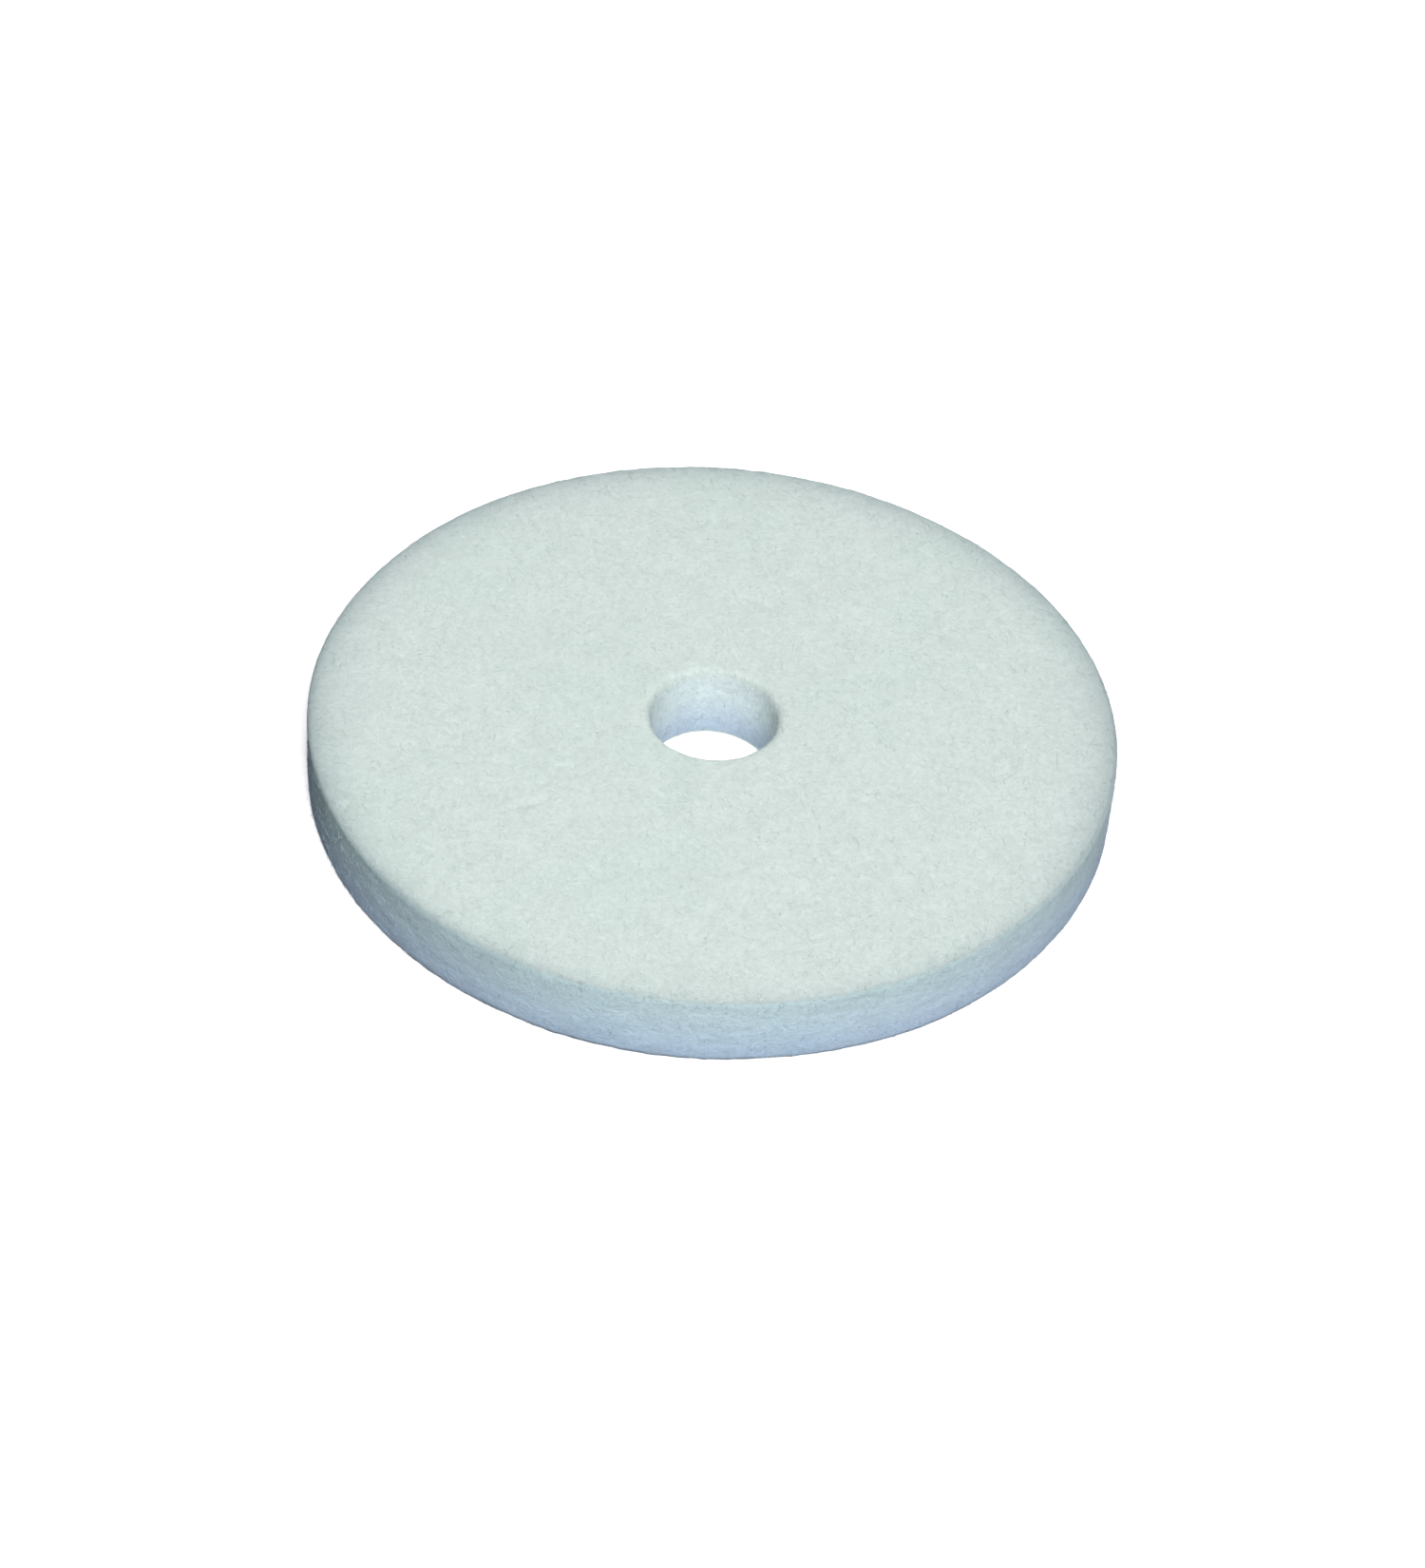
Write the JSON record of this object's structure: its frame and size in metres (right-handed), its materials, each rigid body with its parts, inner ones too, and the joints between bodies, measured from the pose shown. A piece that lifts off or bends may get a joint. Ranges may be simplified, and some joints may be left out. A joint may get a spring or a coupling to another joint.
{
  "type": "felt polishing wheel",
  "caption": "Flat disc of pressed white wool felt with a plain central arbor hole, for polishing stones and metal on a spindle.",
  "frame": {"origin": "centre of the bore on the lower face, which the wheel rests on", "axes": "+Z along the bore axis, from the lower face to the upper one; the wheel is round, so X and Y are free"},
  "size_m": [0.1, 0.1, 0.01],
  "materials": {
    "wool_felt": "matt pressed wool felt, white with a pale mint cast, faintly mottled, with short loose fibres"
  },
  "bodies": {
    "root": {"felt_disc": "wool_felt"}
  },
  "joints": []
}
